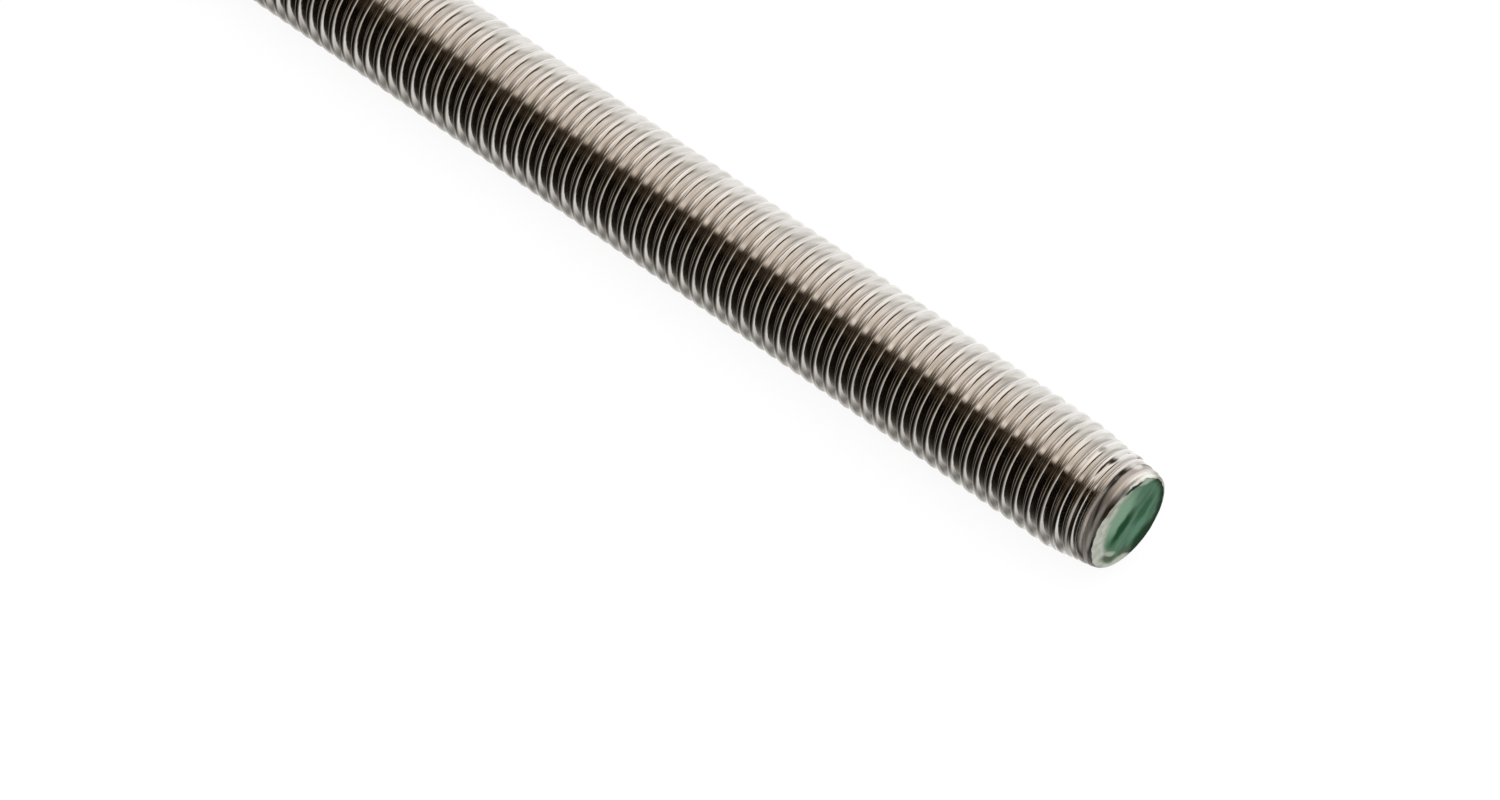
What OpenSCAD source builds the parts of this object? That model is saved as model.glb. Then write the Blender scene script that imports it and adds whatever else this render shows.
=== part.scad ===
// Fully threaded rod with a pointed, saw-cut end at each side.
// It lies along X, with its middle at the origin and the painted end towards +X.
// Every ridge of the thread is a ring with the true thread section, so each crest is a round land
// on which a nut, a sleeve or a clearance hole can be gauged.

/* [Thread] */
// Diameter over the crests
major_d = 15.8; // [14:0.1:30]
// Distance along the rod from one crest to the next
pitch = 2; // [1:0.25:3]
// Angle between the two flanks of a groove
flank_angle = 60; // [50:1:75]
// Width of the flat land on top of each ridge
crest_flat = 0.3; // [0.1:0.05:0.4]
// Width of the flat at the bottom of each groove
root_flat = 0.3; // [0.1:0.05:0.4]

/* [Ends] */
// Length from one end face to the other
rod_length = 300; // [60:1:1000]
// Diameter of the flat end faces
end_face_d = 12.4; // [8:0.1:12.8]
// Size of the 45 degree bevel round an end face
edge_bevel = 0.6; // [0.1:0.05:0.6]
// Length over which the crests fall away towards an end face
point_length = 7; // [2:0.5:20]

/* [Hidden] */
$fn = 96;

major_r = major_d / 2;
end_face_r = end_face_d / 2;
bevel_r = end_face_r + edge_bevel;

// A flank climbs half of what the two flats leave free of the pitch
flank_run = (pitch - crest_flat - root_flat) / 2;
thread_depth = flank_run / tan(flank_angle / 2);
root_r = major_r - thread_depth;

// Ridges are counted from the middle ridge outwards, and run on past both end faces
side_ridges = ceil(rod_length / 2 / pitch) + 1;

// The cone of a point carries on outside the crests, so that it cuts every ridge it meets
cone_clear = 1;
cone_r = major_r + cone_clear;
cone_slope = (point_length - edge_bevel) / (major_r - bevel_r);
cone_length = edge_bevel + cone_slope * (cone_r - bevel_r);

// Corners of one ridge, as radius and place along the rod
function ridge(middle) = [
    [root_r, middle - crest_flat / 2 - flank_run],
    [major_r, middle - crest_flat / 2],
    [major_r, middle + crest_flat / 2],
    [root_r, middle + crest_flat / 2 + flank_run]
];

// Half section of an endless threaded bar
module thread_section() {
    reach = side_ridges * pitch + pitch / 2;
    polygon([
        [0, -reach],
        [root_r, -reach],
        for (i = [-side_ridges : side_ridges]) each ridge(i * pitch),
        [root_r, reach],
        [0, reach]
    ]);
}

// Half section of the plain pointed bar that the thread is cut to
module pointed_section() {
    half = rod_length / 2;
    polygon([
        [0, -half],
        [end_face_r, -half],
        [bevel_r, -half + edge_bevel],
        [cone_r, -half + cone_length],
        [cone_r, half - cone_length],
        [bevel_r, half - edge_bevel],
        [end_face_r, half],
        [0, half]
    ]);
}

module threaded_rod() {
    color([0.73, 0.70, 0.66])
        rotate([0, 90, 0])
            rotate_extrude()
                intersection() {
                    thread_section();
                    pointed_section();
                }
}

threaded_rod();
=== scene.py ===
import math

import bpy
import numpy as np
from mathutils import Matrix, Vector


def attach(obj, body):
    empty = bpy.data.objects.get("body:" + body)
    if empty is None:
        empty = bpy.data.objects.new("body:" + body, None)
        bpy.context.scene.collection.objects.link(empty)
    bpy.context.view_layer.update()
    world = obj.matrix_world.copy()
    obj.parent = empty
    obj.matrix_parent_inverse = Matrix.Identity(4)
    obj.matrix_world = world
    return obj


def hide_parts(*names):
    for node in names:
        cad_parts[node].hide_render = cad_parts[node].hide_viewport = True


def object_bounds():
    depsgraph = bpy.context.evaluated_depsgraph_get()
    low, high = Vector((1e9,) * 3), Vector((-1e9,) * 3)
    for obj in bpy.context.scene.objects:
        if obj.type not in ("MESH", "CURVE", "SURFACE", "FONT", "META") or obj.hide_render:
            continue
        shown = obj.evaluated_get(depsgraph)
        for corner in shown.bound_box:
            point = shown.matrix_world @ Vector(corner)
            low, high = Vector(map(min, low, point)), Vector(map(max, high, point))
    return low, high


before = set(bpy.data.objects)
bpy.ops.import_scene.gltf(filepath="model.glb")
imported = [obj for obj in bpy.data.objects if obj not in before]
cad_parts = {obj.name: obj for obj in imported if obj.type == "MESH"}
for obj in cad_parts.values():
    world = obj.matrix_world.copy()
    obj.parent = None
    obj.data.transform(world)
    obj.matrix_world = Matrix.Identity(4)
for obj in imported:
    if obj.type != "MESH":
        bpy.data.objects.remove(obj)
cadLow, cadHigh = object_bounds()

mm = 0.001
rodHalf = cadHigh.x        # the rod lies along X with its middle at the origin, painted end at +X
crestRadius = cadHigh.z
floorHeight = cadLow.z
print("frame loaded: rod", round(2 * rodHalf / mm, 1), "mm long,",
      round(2 * crestRadius / mm, 2), "mm over the crests")


def linearColor(hexCode):
    # each sRGB channel c becomes c / 12.92 up to 0.04045, and ((c + 0.055) / 1.055) ** 2.4 above it
    c = np.array([int(hexCode[i:i + 2], 16) / 255 for i in (1, 3, 5)])
    c = np.where(c <= 0.04045, c / 12.92, ((c + 0.055) / 1.055) ** 2.4)
    return (*c.tolist(), 1.0)


def addNode(tree, kind, settings=None, links=None, stops=None):
    # settings go to the node's own properties or, by socket name or number, to its inputs
    node = tree.nodes.new(kind)
    for name, value in (settings or {}).items():
        if isinstance(name, str) and hasattr(node, name):
            setattr(node, name, value)
        else:
            node.inputs[name].default_value = value
    for name, source in (links or {}).items():
        tree.links.new(source, node.inputs[name])
    for i, (place, color) in enumerate(stops or []):
        ramp = node.color_ramp.elements
        stop = ramp[i] if i < 2 else ramp.new(place)    # a ramp comes with two
        stop.position, stop.color = place, color
    return node


def newMaterial(name):
    material = bpy.data.materials.new(name)
    material.use_nodes = True
    material.node_tree.nodes.clear()
    return material, material.node_tree


def quadTriangles(a, b, c, d):
    # two triangles for every quad of corners: a b c and a c d
    return np.concatenate([np.stack([a, b, c], -1).reshape(-1, 3), np.stack([a, c, d], -1).reshape(-1, 3)])


def meshObject(name, points, triangles, materials, materialIndex=None, cornerNormals=None):
    mesh = bpy.data.meshes.new(name)
    mesh.vertices.add(len(points))
    mesh.vertices.foreach_set("co", np.asarray(points, np.float32).ravel())
    mesh.loops.add(triangles.size)
    mesh.loops.foreach_set("vertex_index", triangles.astype(np.int32).ravel())
    mesh.polygons.add(len(triangles))
    mesh.polygons.foreach_set("loop_start", np.arange(0, triangles.size, 3, dtype=np.int32))
    mesh.polygons.foreach_set("use_smooth", np.ones(len(triangles), bool))
    for material in materials:
        mesh.materials.append(material)
    if materialIndex is not None:
        mesh.polygons.foreach_set("material_index", materialIndex.astype(np.int32))
    mesh.update(calc_edges=True)
    if cornerNormals is not None:
        mesh.normals_split_custom_set(cornerNormals.reshape(-1, 3).tolist())
    piece = bpy.data.objects.new(name, mesh)
    bpy.context.scene.collection.objects.link(piece)
    return piece


# Camera: the pose at which the photo's thread crests and outlines were matched
cameraSettings = {
    "frame": (1500, 800),            # pixels of the photo
    "focalPixels": 6258,             # focal length in those pixels
    "elevation": 49.75,              # degrees down on to the rod
    "azimuth": 42.24,                # degrees round from -Y towards the painted end
    "facePixel": (1129.3, 522.5),    # where the middle of the painted face shows
    "faceDepth": 742.7,              # mm from the camera to that face, along the view
    "sensor": 36,                    # mm
    "clip": (0.01, 100),             # metres
}


def placeCamera(s):
    # back, right and up come from the two angles; the face's pixel and depth then give the camera's place
    a, e = math.radians(s["azimuth"]), math.radians(s["elevation"])
    back = Vector((math.sin(a) * math.cos(e), -math.cos(a) * math.cos(e), math.sin(e)))
    right = Vector((math.cos(a), math.sin(a), 0))
    up = back.cross(right)
    wide, high = s["frame"]
    sideways = (s["facePixel"][0] - wide / 2) / s["focalPixels"]
    downwards = (s["facePixel"][1] - high / 2) / s["focalPixels"]
    reach = s["faceDepth"] * mm
    face = Vector((rodHalf, 0, 0))
    place = face - reach * (right * sideways - up * downwards - back)
    data = bpy.data.cameras.new("camera")
    data.sensor_width = s["sensor"]
    data.lens = s["sensor"] * s["focalPixels"] / wide
    data.clip_start, data.clip_end = s["clip"]
    camera = bpy.data.objects.new("camera", data)
    turn = Matrix((right, up, back)).transposed().to_4x4()
    camera.matrix_world = Matrix.Translation(place) @ turn
    bpy.context.scene.collection.objects.link(camera)
    bpy.context.scene.camera = camera
    print("camera at", [round(v, 3) for v in place], "lens", round(data.lens, 1))


placeCamera(cameraSettings)


# Rolled stainless steel: bright and slightly warm, burnished by the rolling dies into fine lines along the
# thread, so it mirrors its surroundings a little softly and each bounce in a groove comes out darker
steelSettings = {
    "color": "#EDEAE6",
    "shade": "#D6D2CC",
    "tones": (0.36, 0.6),       # heights of the rolling lines at which they have the shade and the colour
    "roughness": (0.07, 0.15),
    "cloudy": (0.3, 0.7),       # how cloudy a patch is for the one and the other
    "patchSize": 1.6,           # mm, cloudy patches left by the dies
    "lineSize": (0.3, 7.0),     # mm across and along a rolling line, coarser than real so that it shows
    "lineDepth": 0.016,         # mm
    "lineBump": 0.7,            # share of that depth that shows
    "grooveShade": 0.64,         # brightness left by the painted shade in the bottom of the grooves
    "grooveFrom": 0.78,         # share of the way from a crest to the next root at which that starts
    "grooveShift": 0.07,        # turns by which that painted shade lies towards -X
    "dullFrom": (2.8, 1.9),     # mm from an end over which the metal grows dull
    "dullColor": "#D0C8BF",
    "dullRough": 0.22,          # what that adds to the roughness
    "dullMetal": 0.78,          # how far it still mirrors as metal
    "seamShade": 0.06,           # brightness left by the painted shade in the seams of the end rings
    "seamWidth": 0.36,          # mm, half the width of that painted shade
    "tarnish": 0.68,            # brightness of the rings beside it
    "ridgeWidth": 0.5,          # mm, width of the brighter ridge between two seams
    "seamSlant": 0.2,           # mm that it runs towards the end for each mm further down
    "seamShift": 0.74,          # turns by which it lies towards +X at the height of the axis
    "rimShade": 0.25,            # brightness left by the painted shade in the line beside the paint
    "rimFrom": (0.4, 0.15),     # mm from the end over which that line darkens
    "rimSlant": (-0.08, -0.05),     # its slant against the rod, mm along for each mm towards +Y and +Z
    # spots of painted highlight and painted shade near the painted end: mm in from it, half length along
    # the rod in mm, then as the paint's daubs
    "spots": [
        (0, 1.2, 2.2, 6.2, 4.6, 1.9, -23, "#FFFCF6", 1.0),          # painted highlight on the rounded edge
        (0, 1.2, -4.1, 5.2, 3.4, 1.5, 38, "#2A201A", 1.0),          # painted shade on the rounded edge
        (1.9, 0.8, 3.24, 6.09, 1.4, 0.8, -28, "#F2EEE8", 0.8),      # painted highlight at the end of the last seam
        (2.1, 0.42, 0.97, 6.88, 1.5, 0.8, -8, "#1E1610", 0.9),      # painted shade in it
        (1.95, 0.42, -1.09, 6.86, 1.6, 0.8, 9, "#1E1610", 0.8),
        (4.0, 0.46, 1.35, 7.07, 1.2, 0.8, -11, "#1E1610", 1.0),     # painted shade where two more seams start, beside the rolled lip
        (6.04, 0.4, 1.75, 7.19, 1.0, 0.8, -14, "#3A3028", 0.6),
        (0.9, 0.36, -4.77, 4.77, 2.6, 1.2, 45, "#EDE4DA", 0.8),     # painted highlight on the ridge beside the paint
        (0.85, 0.36, -6.42, 2.09, 2.6, 1.2, 72, "#F4EEE6", 0.9),
    ],
}
daubEdge = 0.65     # share of the way from a daub's edge to its middle over which it fades in


def daub(tree, place, color, inset, deep, y, z, long, wide, angle, hexCode, share):
    # an ellipsoid of colour near the +X end, whose cover is a smoothstep of the distance in from its edge
    spot = addNode(tree, "ShaderNodeMapping",
                   {"vector_type": "TEXTURE", "Location": (rodHalf - inset * mm, y * mm, z * mm),
                    "Rotation": (math.radians(angle), 0, 0), "Scale": (deep * mm, long * mm, wide * mm)},
                   {"Vector": place})
    fade = addNode(tree, "ShaderNodeTexGradient", {"gradient_type": "SPHERICAL"},
                   {"Vector": spot.outputs["Vector"]})
    cover = addNode(tree, "ShaderNodeMapRange",
                    {"interpolation_type": "SMOOTHSTEP", "From Max": daubEdge, "To Max": share},
                    {"Value": fade.outputs["Fac"]})
    return addNode(tree, "ShaderNodeMix", {"data_type": "RGBA", 7: linearColor(hexCode)},
                   {0: cover.outputs["Result"], 6: color}).outputs[2]


def rolledSteel(s, rod):
    material, tree = newMaterial("rolled_stainless_steel")
    place = addNode(tree, "ShaderNodeTexCoord").outputs["Object"]
    patches = addNode(tree, "ShaderNodeTexNoise", {"Scale": 1 / (s["patchSize"] * mm), "Detail": 3.0},
                      {"Vector": place})

    # the lines wind with the thread: x + pitch * angle / 360, the angle taken from the top
    axes = addNode(tree, "ShaderNodeSeparateXYZ", links={"Vector": place})
    angle = addNode(tree, "ShaderNodeMath", {"operation": "ARCTAN2"},
                    {0: axes.outputs["Y"], 1: axes.outputs["Z"]})
    wound = addNode(tree, "ShaderNodeMath",
                    {"operation": "MULTIPLY_ADD", 1: rod["pitch"] * mm / (2 * math.pi)},
                    {0: angle.outputs["Value"], 2: axes.outputs["X"]}).outputs["Value"]
    helix = addNode(tree, "ShaderNodeCombineXYZ",
                    links={"X": wound, "Y": axes.outputs["Y"], "Z": axes.outputs["Z"]})
    across, along = s["lineSize"]
    stretch = addNode(tree, "ShaderNodeMapping",
                      {"vector_type": "TEXTURE", "Scale": (across * mm, along * mm, along * mm)},
                      {"Vector": helix.outputs["Vector"]})
    lines = addNode(tree, "ShaderNodeTexNoise", {"Scale": 1.0, "Detail": 3.0, "Roughness": 0.6},
                    {"Vector": stretch.outputs["Vector"]}).outputs["Fac"]
    shadeAt, colorAt = s["tones"]
    color = addNode(tree, "ShaderNodeValToRGB", links={"Fac": lines},
                    stops=[(shadeAt, linearColor(s["shade"])), (colorAt, linearColor(s["color"]))])

    # painted shade in the grooves: half turns past a crest, folded to run from 0 at a crest to 1 at a root
    halfTurns = 2 / (rod["pitch"] * mm)     # in a metre of rod
    start = rod["threadStart"] + 0.25       # turns, a quarter more as the angle is taken from the top
    halves = addNode(tree, "ShaderNodeMath",
                     {"operation": "MULTIPLY_ADD", 1: halfTurns, 2: -2 * (start - s["grooveShift"])},
                     {0: wound})
    groove = addNode(tree, "ShaderNodeMath", {"operation": "PINGPONG", 1: 1.0},
                     {0: halves.outputs["Value"]})
    grooveShading = addNode(tree, "ShaderNodeMapRange",
                   {"interpolation_type": "SMOOTHSTEP", "From Min": s["grooveFrom"],
                    "To Min": 1.0, "To Max": s["grooveShade"]}, {"Value": groove.outputs["Value"]})

    # the last millimetres of the rod are duller, and their grooves are too shallow for the painted groove
    # shade, which gives way there to the seams' painted shade
    far = addNode(tree, "ShaderNodeMath", {"operation": "ABSOLUTE"}, {0: axes.outputs["X"]})
    bright, dulled = (rodHalf - inset * mm for inset in s["dullFrom"])
    dull = addNode(tree, "ShaderNodeMapRange",
                   {"interpolation_type": "SMOOTHSTEP", "From Min": bright, "From Max": dulled},
                   {"Value": far.outputs["Value"]}).outputs["Result"]
    metal = addNode(tree, "ShaderNodeMix", {"data_type": "RGBA", 7: linearColor(s["dullColor"])},
                    {0: dull, 6: color.outputs["Color"]}).outputs[2]

    # painted shade darkens the seams there, where a crest is missing
    bent = addNode(tree, "ShaderNodeMath", {"operation": "MULTIPLY_ADD", 1: s["seamSlant"]},
                   {0: axes.outputs["Z"], 2: wound})
    crests = addNode(tree, "ShaderNodeMath",
                     {"operation": "MULTIPLY_ADD", 1: halfTurns, 2: -2 * (start + s["seamShift"])},
                     {0: bent.outputs["Value"]})
    beside = addNode(tree, "ShaderNodeMath", {"operation": "PINGPONG", 1: 1.0},
                     {0: crests.outputs["Value"]})
    # the darkest stop is the painted shade in the seams
    grimeAndShade, tarnish, clean = ((v, v, v, 1.0) for v in (s["seamShade"], s["tarnish"], 1.0))
    seam = addNode(tree, "ShaderNodeValToRGB", links={"Fac": beside.outputs["Value"]},
                   stops=[(0.0, grimeAndShade), (1.0, clean), (2 * s["seamWidth"] / rod["pitch"], tarnish),
                          (1 - s["ridgeWidth"] / rod["pitch"], tarnish)])
    paintedShade = addNode(tree, "ShaderNodeMix", {"data_type": "FLOAT"},
                  {0: dull, 2: grooveShading.outputs["Result"], 3: seam.outputs["Color"]})

    # a line of painted shade runs beside the paint, and spots of painted highlight and painted shade lie
    # over all of this
    slanted = addNode(tree, "ShaderNodeVectorMath",
                      {"operation": "DOT_PRODUCT", 1: (1, *s["rimSlant"])}, {0: place})
    bare, shaded = (rodHalf - inset * mm for inset in s["rimFrom"])
    line = addNode(tree, "ShaderNodeMapRange",
                   {"interpolation_type": "SMOOTHSTEP", "From Min": bare, "From Max": shaded,
                    "To Min": 1.0, "To Max": s["rimShade"]}, {"Value": slanted.outputs["Value"]})
    left = addNode(tree, "ShaderNodeMath", {"operation": "MULTIPLY"},
                   {0: paintedShade.outputs[0], 1: line.outputs["Result"]})
    shadedAndLit = addNode(tree, "ShaderNodeVectorMath", {"operation": "SCALE"},
                     {"Vector": metal, "Scale": left.outputs["Value"]}).outputs["Vector"]
    for settings in s["spots"]:
        shadedAndLit = daub(tree, place, shadedAndLit, *settings)

    smooth, rough = s["roughness"]
    clear, cloudy = s["cloudy"]
    clouds = addNode(tree, "ShaderNodeMapRange",
                     {"From Min": clear, "From Max": cloudy, "To Min": smooth, "To Max": rough},
                     {"Value": patches.outputs["Fac"]})
    roughness = addNode(tree, "ShaderNodeMath", {"operation": "MULTIPLY_ADD", 1: s["dullRough"]},
                        {0: dull, 2: clouds.outputs["Result"]})
    mirror = addNode(tree, "ShaderNodeMath",
                     {"operation": "MULTIPLY_ADD", 1: s["dullMetal"] - 1, 2: 1.0}, {0: dull})
    bump = addNode(tree, "ShaderNodeBump", {"Strength": s["lineBump"], "Distance": s["lineDepth"] * mm},
                   {"Height": lines})
    shader = addNode(tree, "ShaderNodeBsdfPrincipled",
                     links={"Base Color": shadedAndLit, "Roughness": roughness.outputs["Value"],
                            "Metallic": mirror.outputs["Value"], "Normal": bump.outputs["Normal"]})
    addNode(tree, "ShaderNodeOutputMaterial", links={"Surface": shader.outputs["BSDF"]})
    return material


# Sawn stainless steel: the same metal where a saw cut it off, duller and lined with fine parallel cuts
sawnSettings = {
    "color": "#CFCAC3",
    "shade": "#A8A29B",
    "tones": (0.2, 0.8),    # heights of the cuts at which they have the shade and the colour
    "roughness": 0.42,
    "metallic": 0.5,        # the torn surface scatters about half of its light
    "cutSpacing": 0.35,     # mm between saw marks
    "cutDepth": 0.012,      # mm
    "cutBump": 0.5,         # share of that depth that shows
}
wavePeriod = 0.314      # length after which a wave texture of scale 1 repeats


def sawnSteel(s):
    material, tree = newMaterial("sawn_stainless_steel")
    place = addNode(tree, "ShaderNodeTexCoord").outputs["Object"]
    cuts = addNode(tree, "ShaderNodeTexWave",
                   {"bands_direction": "Z", "Scale": wavePeriod / (s["cutSpacing"] * mm),
                    "Distortion": 2.5, "Detail": 3.0, "Detail Scale": 2.0}, {"Vector": place})
    bump = addNode(tree, "ShaderNodeBump", {"Strength": s["cutBump"], "Distance": s["cutDepth"] * mm},
                   {"Height": cuts.outputs["Fac"]})
    shadeAt, colorAt = s["tones"]
    tint = addNode(tree, "ShaderNodeValToRGB", links={"Fac": cuts.outputs["Fac"]},
                   stops=[(shadeAt, linearColor(s["shade"])), (colorAt, linearColor(s["color"]))])
    shader = addNode(tree, "ShaderNodeBsdfPrincipled",
                     {"Metallic": s["metallic"], "Roughness": s["roughness"]},
                     {"Base Color": tint.outputs["Color"], "Normal": bump.outputs["Normal"]})
    addNode(tree, "ShaderNodeOutputMaterial", links={"Surface": shader.outputs["BSDF"]})
    return material


# Threaded rod
rodSettings = {
    "pitch": 2.0,           # mm from crest to crest
    "flankAngle": 60,       # degrees between the flanks of a groove
    "crestFlat": 0.1,       # mm, land left on each crest
    "crestRound": 0.4,      # mm, radius either side of that land, tangent to the flanks
    "rootRound": 0.2,       # mm, radius of the root
    "threadStart": 0.705,   # turns, brings each crest over the one in the photo
    "stepsPerTurn": 46,
    "crestSteps": 4,        # rows of points from the land's edge to the flank
    "rootSteps": 5,         # rows of points over a root
    "spareTurns": 3,        # turns past each end, cut off there
    "faceRadius": 6.2,      # mm, flat end face
    "edgeRound": 0.5,       # mm, rounding of the edge beside it
    "edgeSteps": 7,         # rows of points over that rounding
    "pointLength": 7.0,     # mm, over which the crests fall away
    "pointMore": (3.5, 32),     # mm that the point at +X is longer on one side, degrees from +Y towards +Z
    "faceLess": (0.3, -60),     # mm that the face at +X falls short on one side, and where
    "rootDrop": 0.25,       # share of what a crest lacks by which the grooves of the point run deeper
    "ring": (1.4, 2.6),     # mm from an end over which the grooves reach their depth
    "ringGroove": 0.22,     # share of that depth that they start with
    "blend": 0.12,          # mm, softness of the edges where the point cuts the thread
    "seamDepth": 0.3,       # share of what a crest lacks that the rolling seam along it is deep
    "seamWidth": 0.2,       # mm
    "cutSlant": (0.038, -0.009),    # mm that the saw cut runs out for each mm towards +Y and +Z
    "cutReach": 3.0,        # mm of rod that follows the slanting cut
    "slopeStep": 0.002,     # mm over which slopes are taken
}


def flankRise(s):
    # how steeply a flank rises from the axis: a right angle less half the angle between flanks
    return math.radians(90 - s["flankAngle"] / 2)


def threadRadius(s, off):
    # Radius at a distance off from the nearest crest's middle: land, crest arc, straight flank, root arc
    rise = flankRise(s)
    crestEnd = s["crestFlat"] / 2 + s["crestRound"] * math.sin(rise)
    rootStart = s["pitch"] / 2 - s["rootRound"] * math.sin(rise)
    flankTop = crestRadius / mm - s["crestRound"] * (1 - math.cos(rise))
    flankFoot = flankTop - (rootStart - crestEnd) * math.tan(rise)
    over = np.clip(off - s["crestFlat"] / 2, 0, s["crestRound"])
    crest = crestRadius / mm - s["crestRound"] + np.sqrt(s["crestRound"] ** 2 - over ** 2)
    flank = flankTop - (off - crestEnd) * math.tan(rise)
    short = np.clip(s["pitch"] / 2 - off, 0, s["rootRound"])
    root = flankFoot + s["rootRound"] * math.cos(rise) - np.sqrt(s["rootRound"] ** 2 - short ** 2)
    return np.where(off < crestEnd, crest, np.where(off > rootStart, root, flank))


def lopsided(share, angle):
    # a number that counts fully at one angle and falls off as the cosine to nothing a quarter turn away
    most, where = share
    return most * np.clip(np.cos(angle - math.radians(where)), 0, 1)


def rodRadius(s, x, angle):
    # The rod's skin as a function of place along it and angle round it: the thread, which turns once in a
    # pitch, and the cone of the point, longer on one side, rounded at its edge and seamed where a crest is
    # missing. A smooth minimum joins them: a - max(g, 0) - h * h * blend / 4, where a is the cone, g the
    # cone less the thread, and h = max(1 - |g| / blend, 0). A smoothstep brings g in over the ring at each
    # end. Also gives g.
    turn = x / s["pitch"] - angle / (2 * np.pi) - s["threadStart"]
    off = np.abs(turn - np.round(turn)) * s["pitch"]
    edge, crest = s["edgeRound"], crestRadius / mm
    inset = np.clip(rodHalf / mm - np.abs(x), 0, None)
    face = s["faceRadius"] - (x > 0) * lopsided(s["faceLess"], angle)
    length = s["pointLength"] + (x > 0) * lopsided(s["pointMore"], angle)
    straight = face + edge + (crest - face - edge) * inset / length
    lack = np.clip(crest - straight, 0, None)
    thread = threadRadius(s, off) - s["rootDrop"] * lack
    short = np.clip(edge - inset, 0, edge)
    cone = straight - edge + np.sqrt(edge ** 2 - short ** 2)
    cone = cone - s["seamDepth"] * lack * np.exp(-(off / s["seamWidth"]) ** 2) * (1 - short / edge)
    start = np.clip((inset - s["ring"][0]) / (s["ring"][1] - s["ring"][0]), 0, 1)
    gap = (cone - thread) * (s["ringGroove"] + (1 - s["ringGroove"]) * start ** 2 * (3 - 2 * start))
    soft = np.clip(1 - np.abs(gap) / s["blend"], 0, None)
    return cone - np.clip(gap, 0, None) - soft ** 2 * s["blend"] / 4, gap


def slantCut(s, co):
    # x grows by the slant times y and z, the more so the nearer to the +X end
    share = np.clip((co[:, 0] - rodHalf / mm) / s["cutReach"] + 1, 0, 1)
    out = co.copy()
    out[:, 0] += share * (co[:, 1:] @ np.array(s["cutSlant"]))
    return out


def splitTriangles(points, triangles, value):
    # Cuts every triangle on which value changes sign along value = 0. The corner alone on its side goes
    # first, and each crossed edge gets one new point at the share v0 / (v0 - v1) of the way along it.
    tiny = 1e-6     # keeps corners just off the cut
    value = np.where(np.abs(value) < tiny, tiny, value)
    side = value[triangles] > 0
    count = side.sum(1)
    mixed = (count == 1) | (count == 2)
    lone = np.where(count == 1, side.argmax(1), (~side).argmax(1))
    turn = (lone[:, None] + np.arange(3)) % 3
    a, b, c = np.take_along_axis(triangles, turn, 1)[mixed].T
    ends = np.sort(np.concatenate([np.stack([a, b], 1), np.stack([a, c], 1)]), 1)
    edges, which = np.unique(ends, axis=0, return_inverse=True)
    v0, v1 = value[edges].T
    share = (v0 / (v0 - v1))[:, None]
    added = points[edges[:, 0]] * (1 - share) + points[edges[:, 1]] * share
    p, q = (len(points) + which).reshape(2, -1)
    parts = [triangles[~mixed], np.stack([a, p, q], 1), np.stack([p, b, c], 1), np.stack([p, c, q], 1)]
    return np.concatenate([points, added]), np.concatenate(parts)


def threadGrid(s):
    # Rows that follow the thread and columns round the rod, on a cylinder of radius 1: the last column's
    # row m meets the first column's row m + one pitch, which closes the seam
    rise = flankRise(s)
    crest = s["crestFlat"] / 2 + s["crestRound"] * np.sin(np.linspace(0, rise, s["crestSteps"]))
    root = s["pitch"] / 2 + s["rootRound"] * np.sin(np.linspace(-rise, rise, s["rootSteps"]))
    offsets = np.concatenate([-crest[::-1], crest, root])
    rows, columns = len(offsets), s["stepsPerTurn"]
    reach = math.ceil(rodHalf / mm / s["pitch"]) + s["spareTurns"]
    phase = (np.arange(-reach, reach)[:, None] + offsets / s["pitch"] + s["threadStart"]).ravel()
    turn = (np.arange(columns) / columns)[:, None]
    x = s["pitch"] * (phase + turn)
    y, z = (np.broadcast_to(v, x.shape) for v in (np.cos(2 * np.pi * turn), np.sin(2 * np.pi * turn)))
    points = np.stack([x, y, z], -1).reshape(-1, 3)
    index = np.arange(x.size).reshape(x.shape)
    seam = np.concatenate([index[0, rows:], np.full(rows, -1)])
    after = np.concatenate([index[1:], seam[None]])
    triangles = quadTriangles(index[:, :-1], after[:, :-1], after[:, 1:], index[:, 1:])
    triangles = triangles[(triangles >= 0).all(1)]
    return points, triangles[np.abs(points[triangles, 0]).min(1) < rodHalf / mm]


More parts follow.
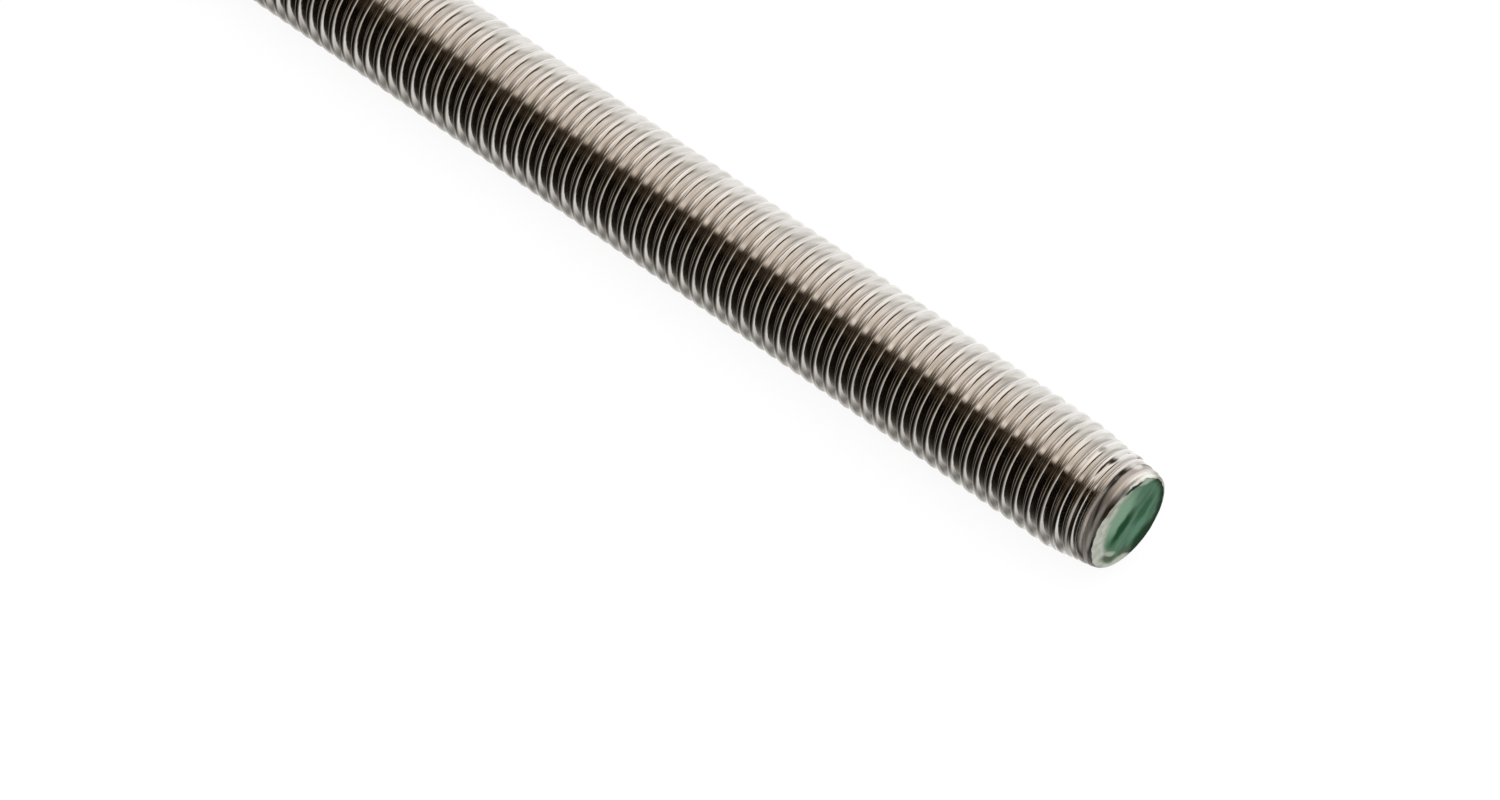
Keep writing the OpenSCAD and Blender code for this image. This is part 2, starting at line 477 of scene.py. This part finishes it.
def threadedRod(s, materials):
    # the grid, cut at the end faces and across the rounded edges, and then along both sides and the middle
    # of each softened edge
    half = rodHalf / mm
    points, triangles = threadGrid(s)
    for inset in s["edgeRound"] * (1 - np.sin(np.linspace(np.pi / 2, 0, s["edgeSteps"]))):
        points, triangles = splitTriangles(points, triangles, half - inset - np.abs(points[:, 0]))
    triangles = triangles[np.abs(points[triangles, 0].mean(1)) < half]
    for level in (-1, 0, 1):
        gap = rodRadius(s, points[:, 0], np.arctan2(points[:, 2], points[:, 1]))[1]
        points, triangles = splitTriangles(points, triangles, gap - level * s["blend"])
    used, triangles = np.unique(triangles, return_inverse=True)
    triangles = triangles.reshape(-1, 3)
    points = points[used]

    # every point stands out to its radius
    x, angle = points[:, 0], np.arctan2(points[:, 2], points[:, 1])
    radius = rodRadius(s, x, angle)[0]
    outwards = np.stack([np.cos(angle), np.sin(angle)], 1)
    around = np.stack([-np.sin(angle), np.cos(angle)], 1)
    co = np.column_stack([x, radius[:, None] * outwards])

    # normals: (-dr/dx, 1, -dr/da / r) along the rod, outwards and round it
    step = s["slopeStep"]
    swing = step / 8        # radians, about the same length round the rod
    alongRod = (rodRadius(s, x + step, angle)[0] - rodRadius(s, x - step, angle)[0]) / (2 * step)
    roundRod = (rodRadius(s, x, angle + swing)[0] - rodRadius(s, x, angle - swing)[0]) / (2 * swing)
    skin = np.column_stack([-alongRod, outwards - (roundRod / radius)[:, None] * around])

    # each end face is a fan from its middle to the open edges there
    sides = np.concatenate([triangles[:, [0, 1]], triangles[:, [1, 2]], triangles[:, [2, 0]]])
    first, times = np.unique(np.sort(sides, 1), axis=0, return_index=True, return_counts=True)[1:]
    rim = sides[first[times == 1]]
    hub = np.where(x[rim[:, 0]] > 0, len(co), len(co) + 1)
    fan = np.stack([rim[:, 1], rim[:, 0], hub], 1)
    co = slantCut(s, np.concatenate([co, [[half, 0, 0], [-half, 0, 0]]])) * mm
    fanNormals = np.zeros((len(fan), 3, 3))
    fanNormals[:, :, 0] = np.sign(x[rim[:, 0]])[:, None]
    normals = np.concatenate([skin[triangles], fanNormals])
    normals /= np.linalg.norm(normals, axis=2, keepdims=True)
    which = np.concatenate([np.zeros(len(triangles)), np.ones(len(fan))])
    rod = meshObject("threaded_rod_helix", co, np.concatenate([triangles, fan]), materials, which, normals)
    print("rod:", len(co), "points,", len(which), "triangles,", len(rim), "edges capped")
    return rod


steel = rolledSteel(steelSettings, rodSettings)
rod = threadedRod(rodSettings, [steel, sawnSteel(sawnSettings)])
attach(rod, "root")
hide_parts("threaded_rod")


# Rolled lip: a burr thrown up on the last full crest
lipSettings = {
    "crest": 72,            # number of the crest from the middle of the rod
    "angles": (18, 50),     # degrees, from +Y towards +Z, where it starts and ends
    "lean": 1.2,            # mm that its start hangs over towards +X
    "radius": 6.98,         # mm from the axis to its middle
    "high": 0.28,           # mm, half its height
    "thick": 0.3,           # mm, half its thickness along the rod
    "steps": (31, 14),      # points along it and round it
}


def rolledLip(s, rod, material):
    # A bean along the crest that leans over evenly towards its start: rings of an ellipse, shrunk by
    # sqrt(sin(pi u)) towards the two ends u = 0 and u = 1
    long, count = s["steps"]
    u = np.linspace(0, 1, long)
    v = np.linspace(0, 2 * np.pi, count, endpoint=False)
    angle = np.radians(s["angles"][0] + (s["angles"][1] - s["angles"][0]) * u)[:, None]
    swell = np.sqrt(np.clip(np.sin(np.pi * u), 0, 1))[:, None]
    out = s["radius"] + s["high"] * swell * np.cos(v)
    x = rod["pitch"] * (s["crest"] + angle / (2 * np.pi) + rod["threadStart"])
    x = x + s["lean"] * (1 - u)[:, None] + s["thick"] * swell * np.sin(v)
    rings = np.stack([x, out * np.cos(angle), out * np.sin(angle)], -1)
    tips = rings[[0, -1]].mean(1)
    co = np.concatenate([rings[1:-1].reshape(-1, 3), tips])
    grid = np.arange(len(co) - 2).reshape(-1, count)
    after = np.roll(grid, -1, 1)
    sheet = quadTriangles(grid[:-1], after[:-1], after[1:], grid[1:])
    first = np.stack([np.full(count, len(co) - 2), after[0], grid[0]], 1)
    last = np.stack([np.full(count, len(co) - 1), grid[-1], after[-1]], 1)
    return meshObject("rolled_lip", co * mm, np.concatenate([sheet, first, last]), [material])


lip = rolledLip(lipSettings, rodSettings, steel)
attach(lip, "root")
print("rolled lip made")


# Green marking paint: a thin matt coat daubed on the sawn end with a brush, thick and dark where a stroke
# ended, worn down to a pale haze on one side and ragged at its lower edge
paintSettings = {
    "color": "#4C6E57",
    "light": "#5C7F68",
    "dark": "#3A5D46",
    "brushTones": (0.3, 0.5, 0.75),     # heights of a brush mark at which it is dark, plain and light
    "worn": "#B6B9AC",
    "grimeAndShade": "#9DA196",
    "wornTones": (0.35, 0.6),           # how worn a place is for grime and for bare haze
    "roughness": 0.6,
    "specular": 0.05,
    "short": 0.03,              # mm by which it stays inside the flat face
    "lap": 0.36,                # mm that it runs on over the rounded edge on the worn side
    "lapAngle": 215,            # degrees, from +Y towards +Z, the middle of that side
    "lapShare": (0.5, 1.5),     # mean and swing of its share of that lap round the face, held to 0 and 1
    "tongue": (80, 24),         # degrees, middle and half width of a tongue that runs over the edge on top
    "ripples": [(0.03, 13, 0), (0.03, 29, 1)],      # mm, waves round the edge, and their start in radians
    "coat": 0.03,               # mm thick
    "sunk": 0.04,               # mm that its back lies in the steel
    "bendLate": 0.4,            # share of its thickness past the edge at which it bends over
    "steps": (144, 39),         # points round it, and rings
    "brushAngle": 38,           # degrees, way of the brush
    "brushSize": (5.0, 1.1),    # mm, along and across a brush mark
    "brushDepth": 0.03,         # mm
    "brushBump": 0.5,           # share of that depth that shows
    "raggedSize": 1.1,          # mm, size of the bits in a ragged edge
    "ragged": 0.35,             # mm that they reach either way
    "daubDeep": 10,             # mm, well past the thickness of the coat
    # each daub: y, z, half length and half width in mm, angle in degrees, colour, share at its middle
    "daubs": [
        (-1.9, 2.8, 4.8, 3.0, 38, "#7A9880", 0.9),      # thin coat, upper left
        (1.6, -2.2, 3.0, 1.3, 32, "#557D67", 0.8),      # thin coat, lower middle
        (-1.3, 0.2, 3.8, 1.3, 41, "#05401F", 1.0),      # end of a stroke
        (2.6, 0.3, 3.1, 1.3, 40, "#235236", 0.8),       # end of the next stroke
        (2.5, -4.6, 4.3, 2.0, 30, "#0A3A1B", 1.0),      # run at the lower edge
    ],
    "wornFrom": (1.8, -0.4, 5.6, 6.9),      # y, z of a middle and the mm from it over which it wears off
    "rimFrom": (-0.7, 0.7, 5.4, 6.5),       # the same for the dark edge on the far side
    "rimColor": "#0E3019",
    "edgeDaubs": [
        (-3.7, -3.6, 2.4, 0.85, -43, "#4A5748", 0.95),  # what is left of a stroke in the worn part
        (-3.3, -2.9, 1.7, 0.55, -40, "#AEB5A5", 0.7),
        (-0.7, -4.6, 2.0, 0.7, -27, "#4B5646", 0.8),
        (-1.4, -5.5, 2.3, 0.8, -18, "#B4B8AB", 0.9),
        (-3.3, 5.0, 1.5, 0.6, 35, "#857F72", 0.6),      # brown stain
        (2.6, 5.3, 2.4, 0.6, -24, "#A9B8A5", 0.7),
        (1.3, 6.55, 3.4, 0.75, -12, "#E6E3DA", 1.0),    # painted highlight over the upper edge
        (0.4, 5.95, 2.8, 0.45, -4, "#1E241C", 1.0),     # painted shade at the upper edge
    ],
}


def markingPaint(s):
    material, tree = newMaterial("green_marking_paint")
    place = addNode(tree, "ShaderNodeTexCoord").outputs["Object"]
    along, across = (size * mm for size in s["brushSize"])
    brush = addNode(tree, "ShaderNodeMapping",
                    {"vector_type": "TEXTURE", "Rotation": (math.radians(s["brushAngle"]), 0, 0),
                     "Scale": (along, along, across)}, {"Vector": place})
    marks = addNode(tree, "ShaderNodeTexNoise", {"Scale": 1.0, "Detail": 4.0, "Roughness": 0.6},
                    {"Vector": brush.outputs["Vector"]}).outputs["Fac"]
    darkAt, plainAt, lightAt = s["brushTones"]
    color = addNode(tree, "ShaderNodeValToRGB", links={"Fac": marks},
                    stops=[(darkAt, linearColor(s["dark"])), (lightAt, linearColor(s["light"])),
                           (plainAt, linearColor(s["color"]))]).outputs["Color"]

    # noise shifts every daub and edge by up to a few tenths of a millimetre, which makes it ragged
    wander = addNode(tree, "ShaderNodeTexNoise", {"Scale": 1 / (s["raggedSize"] * mm), "Detail": 3.0},
                     {"Vector": place})
    bit = s["ragged"] * mm
    shift = addNode(tree, "ShaderNodeVectorMath",
                    {"operation": "MULTIPLY_ADD", 1: (0, 2 * bit, 2 * bit), 2: (0, -bit, -bit)},
                    {0: wander.outputs["Color"]})
    ragged = addNode(tree, "ShaderNodeVectorMath", {"operation": "ADD"},
                     {0: place, 1: shift.outputs["Vector"]}).outputs["Vector"]
    grimeAt, wornAt = s["wornTones"]
    mottled = addNode(tree, "ShaderNodeValToRGB", links={"Fac": wander.outputs["Fac"]},
                      stops=[(grimeAt, linearColor(s["grimeAndShade"])), (wornAt, linearColor(s["worn"]))])

    def beyond(y, z, near, far):
        # share that rises from 0 to 1 between two distances from a middle
        away = addNode(tree, "ShaderNodeVectorMath",
                       {"operation": "DISTANCE", 1: (rodHalf, y * mm, z * mm)}, {0: ragged})
        return addNode(tree, "ShaderNodeMapRange",
                       {"interpolation_type": "SMOOTHSTEP", "From Min": near * mm, "From Max": far * mm},
                       {"Value": away.outputs["Value"]}).outputs["Result"]

    for settings in s["daubs"]:
        color = daub(tree, ragged, color, 0, s["daubDeep"], *settings)
    color = addNode(tree, "ShaderNodeMix", {"data_type": "RGBA", 7: linearColor(s["rimColor"])},
                    {0: beyond(*s["rimFrom"]), 6: color}).outputs[2]
    color = addNode(tree, "ShaderNodeMix", {"data_type": "RGBA"},
                    {0: beyond(*s["wornFrom"]), 6: color, 7: mottled.outputs["Color"]}).outputs[2]
    for settings in s["edgeDaubs"]:
        color = daub(tree, ragged, color, 0, s["daubDeep"], *settings)
    bump = addNode(tree, "ShaderNodeBump", {"Strength": s["brushBump"], "Distance": s["brushDepth"] * mm},
                   {"Height": marks})
    shader = addNode(tree, "ShaderNodeBsdfPrincipled",
                     {"Roughness": s["roughness"], "Specular IOR Level": s["specular"]},
                     {"Base Color": color, "Normal": bump.outputs["Normal"]})
    addNode(tree, "ShaderNodeOutputMaterial", links={"Surface": shader.outputs["BSDF"]})
    return material


def endPaint(s, rod, material):
    # A thin closed film on the +X face. In polar coordinates its edge is the face's circle with a few
    # ripples, pushed out over the rounded edge on the worn side. Rings shrink evenly to the middle, and a
    # ring that stands d past the face steps back along X by bend - sqrt(bend ** 2 - d ** 2), as the steel's
    # edge does.
    count, ringCount = s["steps"]
    phi = np.linspace(0, 2 * np.pi, count, endpoint=False)
    mean, swing = s["lapShare"]
    side = np.clip(mean + swing * np.cos(phi - math.radians(s["lapAngle"])), 0, 1)
    middle, half = s["tongue"]
    side = np.maximum(side, np.exp(-((np.degrees(phi) - middle) / half) ** 2))
    flat = rod["faceRadius"] - lopsided(rod["faceLess"], phi)
    edge = flat - s["short"] + s["lap"] * side
    for high, waves, start in s["ripples"]:
        edge = edge + high * np.sin(waves * phi + start)
    reach = np.linspace(0, 1, ringCount + 1)[1:, None] * edge
    y, z = reach * np.cos(phi), reach * np.sin(phi)
    bend, end = rod["edgeRound"], rodHalf / mm
    past = np.clip(reach - flat - s["bendLate"] * s["coat"], 0, bend)
    front = end + s["coat"] - bend + np.sqrt(bend ** 2 - past ** 2)
    face = np.stack([front, y, z], -1).reshape(-1, 3)
    back = np.stack([front[-1] - s["coat"] - s["sunk"], y[-1], z[-1]], -1)
    co = np.concatenate([[[end + s["coat"], 0, 0]], face, back, [[end - s["sunk"], 0, 0]]])
    grid = 1 + np.arange((ringCount + 1) * count).reshape(-1, count)
    after = np.roll(grid, -1, 1)
    hub = np.stack([np.zeros(count, int), grid[0], after[0]], 1)
    sheet = quadTriangles(grid[:-1], grid[1:], after[1:], after[:-1])
    under = np.stack([np.full(count, len(co) - 1), after[-1], grid[-1]], 1)
    return meshObject("end_paint", slantCut(rod, co) * mm, np.concatenate([hub, sheet, under]), [material])


paint = endPaint(paintSettings, rodSettings, markingPaint(paintSettings))
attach(paint, "root")
print("end paint made")


# Studio: white light all round, a softly lit pale table, and a dark-sided tent that only reflections see
studioSettings = {
    "white": "#FFFFFF",
    "tableColor": "#FBFBFB",
    "tableGlow": 0.84,          # share of the table's light that comes from within, as on a light table
    "tableStrength": 1.1,       # how strong that light is
    "tableSize": 30,            # metres
    "tentRadius": 4,            # metres
    # in the tent, rise is in degrees up from the camera's side over the top, and lean in degrees towards +X
    "tentRise": (-100, 260, 145),       # from, to, and points
    "tentLean": (-89.9, 89.9, 73),
    "warm": "#FFF5EC",          # light in front and overhead
    "warmRise": (85, 55, 40),   # middle, half height and softness of that
    "warmLean": (30, 20),       # its edge towards +X, and softness
    "dark": "#0B0806",
    "tint": (-0.08, 0.0, 0.12, 0.0),    # added to each channel's power of the shade, turns half shade brown
    "tintRise": (0, 40),        # rise about which that grows, and softness
    "tintLow": 0.3,             # share of it well beneath
    # front flag: its upper edge and softness by lean, its edge towards +X by rise, and softness
    "topLean": [-75, -60, -40, -31, -22, 0, 20, 40],
    "topRise": [125, 105, 74, 72, 87, 90, 92, 95],
    "topSoft": [6, 6, 5, 5, 30, 34, 30, 20],
    "sideRise": [-60, -30, -5, 20, 45, 65, 90],
    "sideLean": [28, 34, 30, 31, 48, 60, 56],
    "sideSoft": 38,
    # light that it lets through: share, rise, half height, lean and half width, the first right across
    "glows": [(0.028, 53, 8, 0, 1000), (0.36, -18, 24, -72, 16)],
    # bands beneath: the rise at which they start, and softness, and their brightness by lean
    "underRise": (-67, 29),
    "underLean": [-60, -45, -35, -25, 0, 12, 20, 26, 31, 36, 42, 60],
    "underShade": [0.4, 0.2, 0.45, 0.65, 0.68, 0.65, 0.52, 0.24, 0.19, 0.33, 0.65, 1],
    # back flag: the lean at which it starts by rise, and softness, then its lower and upper edge likewise
    "backRise": [100, 120, 160, 180],
    "backLean": [70, 26, 28, 44],
    "backSoft": 16,
    "backLow": (75, 10),
    "backHigh": (195, 15),
    # what the tent lacks behind the rod, and the lean and rise past which it does, with softness
    "farShade": 0.16,
    "farLean": (8, 20),
    "farRise": (188, 18),
    # brightness where no flag is, by rise, and what a brighter stripe adds to it, in the form of a glow
    "skyRise": [-60, -25, 30, 60, 90, 112, 137, 160, 200],
    "skyShade": [0.8, 0.6, 0.56, 0.8, 0.9, 1.0, 1.1, 0.94, 1.08],
    "stripe": (0.4, 80, 6, -35, 9),
}


def whiteWorld(s):
    world = bpy.data.worlds.new("studio")
    bpy.context.scene.world = world
    world.use_nodes = True
    tree = world.node_tree
    tree.nodes.clear()
    light = addNode(tree, "ShaderNodeBackground", {"Color": linearColor(s["white"]), "Strength": 1.0})
    addNode(tree, "ShaderNodeOutputWorld", links={"Surface": light.outputs["Background"]})


def paleTable(s):
    # one square at the height of the rod's underside
    material, tree = newMaterial("pale_light_table")
    material.cycles.emission_sampling = "NONE"
    color = linearColor(s["tableColor"])
    matt = addNode(tree, "ShaderNodeBsdfDiffuse", {"Color": color})
    glow = addNode(tree, "ShaderNodeEmission", {"Color": color, "Strength": s["tableStrength"]})
    both = addNode(tree, "ShaderNodeMixShader", {"Fac": s["tableGlow"]},
                   {1: matt.outputs["BSDF"], 2: glow.outputs["Emission"]})
    addNode(tree, "ShaderNodeOutputMaterial", links={"Surface": both.outputs["Shader"]})
    d, z = s["tableSize"] / 2, floorHeight
    corners = np.array([[-d, -d, z], [d, -d, z], [d, d, z], [-d, d, z]])
    table = meshObject("table", corners, np.array([[0, 1, 2], [0, 2, 3]]), [material])
    table.visible_glossy = False


def soften(x, edge, soft):
    # soft step from 0 to 1 as x passes an edge, a logistic curve whose slope at the edge is 1 / soft
    return 1 / (1 + np.exp(-4 * (x - edge) / soft))


def softPatch(rise, lean, share, up, high, along, wide):
    # a share that falls off as exp(-a ** 2 - b ** 2), a and b half heights and half widths from its middle
    return share * np.exp(-((rise - up) / high) ** 2 - ((lean - along) / wide) ** 2)


def tentShade(s, rise, lean):
    # How bright the tent is at a rise and a lean: a dark front flag below its slanting upper edge and short
    # of its side edge, bands beneath, a dark back flag towards +X, and pale elsewhere
    top = np.interp(lean, s["topLean"], s["topRise"])
    soft = np.interp(lean, s["topLean"], s["topSoft"])
    side = np.interp(rise, s["sideRise"], s["sideLean"])
    front = (1 - soften(rise, top, soft)) * (1 - soften(lean, side, s["sideSoft"]))
    for settings in s["glows"]:
        front = front * (1 - softPatch(rise, lean, *settings))
    start = np.interp(rise, s["backRise"], s["backLean"])
    back = soften(lean, start, s["backSoft"])
    back = back * soften(rise, *s["backLow"]) * (1 - soften(rise, *s["backHigh"]))
    far = s["farShade"] * soften(lean, *s["farLean"]) * soften(rise, *s["farRise"])
    sky = np.interp(rise, s["skyRise"], s["skyShade"]) * (1 + softPatch(rise, lean, *s["stripe"]))
    above = sky * (1 - front) * (1 - back) * (1 - far)
    below = 1 - soften(rise, *s["underRise"])
    return above * (1 - below) + np.interp(lean, s["underLean"], s["underShade"]) * below


def reflectionTent(s):
    # A sphere about the rod with the shade at each point: at rise a and lean t it stands towards
    # (sin t, -cos t cos a, cos t sin a), so rise runs from the camera's side over the top and round
    rise, lean = np.meshgrid(np.linspace(*s["tentRise"]), np.linspace(*s["tentLean"]), indexing="ij")
    a, t = np.radians(rise), np.radians(lean)
    co = np.stack([np.sin(t), -np.cos(t) * np.cos(a), np.cos(t) * np.sin(a)], -1) * s["tentRadius"]
    index = np.arange(a.size).reshape(a.shape)
    faces = quadTriangles(index[:-1, :-1], index[1:, :-1], index[1:, 1:], index[:-1, 1:])
    material, tree = newMaterial("reflection_tent")
    material.cycles.emission_sampling = "NONE"
    shade = addNode(tree, "ShaderNodeAttribute", {"attribute_name": "shade"})
    shader = addNode(tree, "ShaderNodeEmission", {"Strength": 1.0}, {"Color": shade.outputs["Color"]})
    addNode(tree, "ShaderNodeOutputMaterial", links={"Surface": shader.outputs["Emission"]})
    tent = meshObject("reflection_tent", co.reshape(-1, 3), faces, [material])

    # colour: from dark to the light there, warm or white, by the shade to a power near 1 in each channel
    share = tentShade(s, rise, lean)[..., None]
    middle, half, soft = s["warmRise"]
    cool = np.maximum(soften(np.abs(rise - middle), half, soft), soften(lean, *s["warmLean"]))[..., None]
    grown = s["tintLow"] + (1 - s["tintLow"]) * soften(rise, *s["tintRise"])[..., None]
    power = 1 + grown * np.array(s["tint"])
    dark, warm, white = (np.array(linearColor(s[name])) for name in ("dark", "warm", "white"))
    color = dark + share ** power * (warm + cool * (white - warm) - dark)
    layer = tent.data.color_attributes.new("shade", "FLOAT_COLOR", "POINT")
    layer.data.foreach_set("color", color.astype(np.float32).ravel())
    tent.visible_camera = False
    tent.visible_diffuse = False
    tent.visible_shadow = False
    tent.visible_transmission = False


whiteWorld(studioSettings)
paleTable(studioSettings)
reflectionTent(studioSettings)
bpy.context.scene.view_settings.view_transform = "Standard"
print("studio set")

bpy.context.view_layer.update()
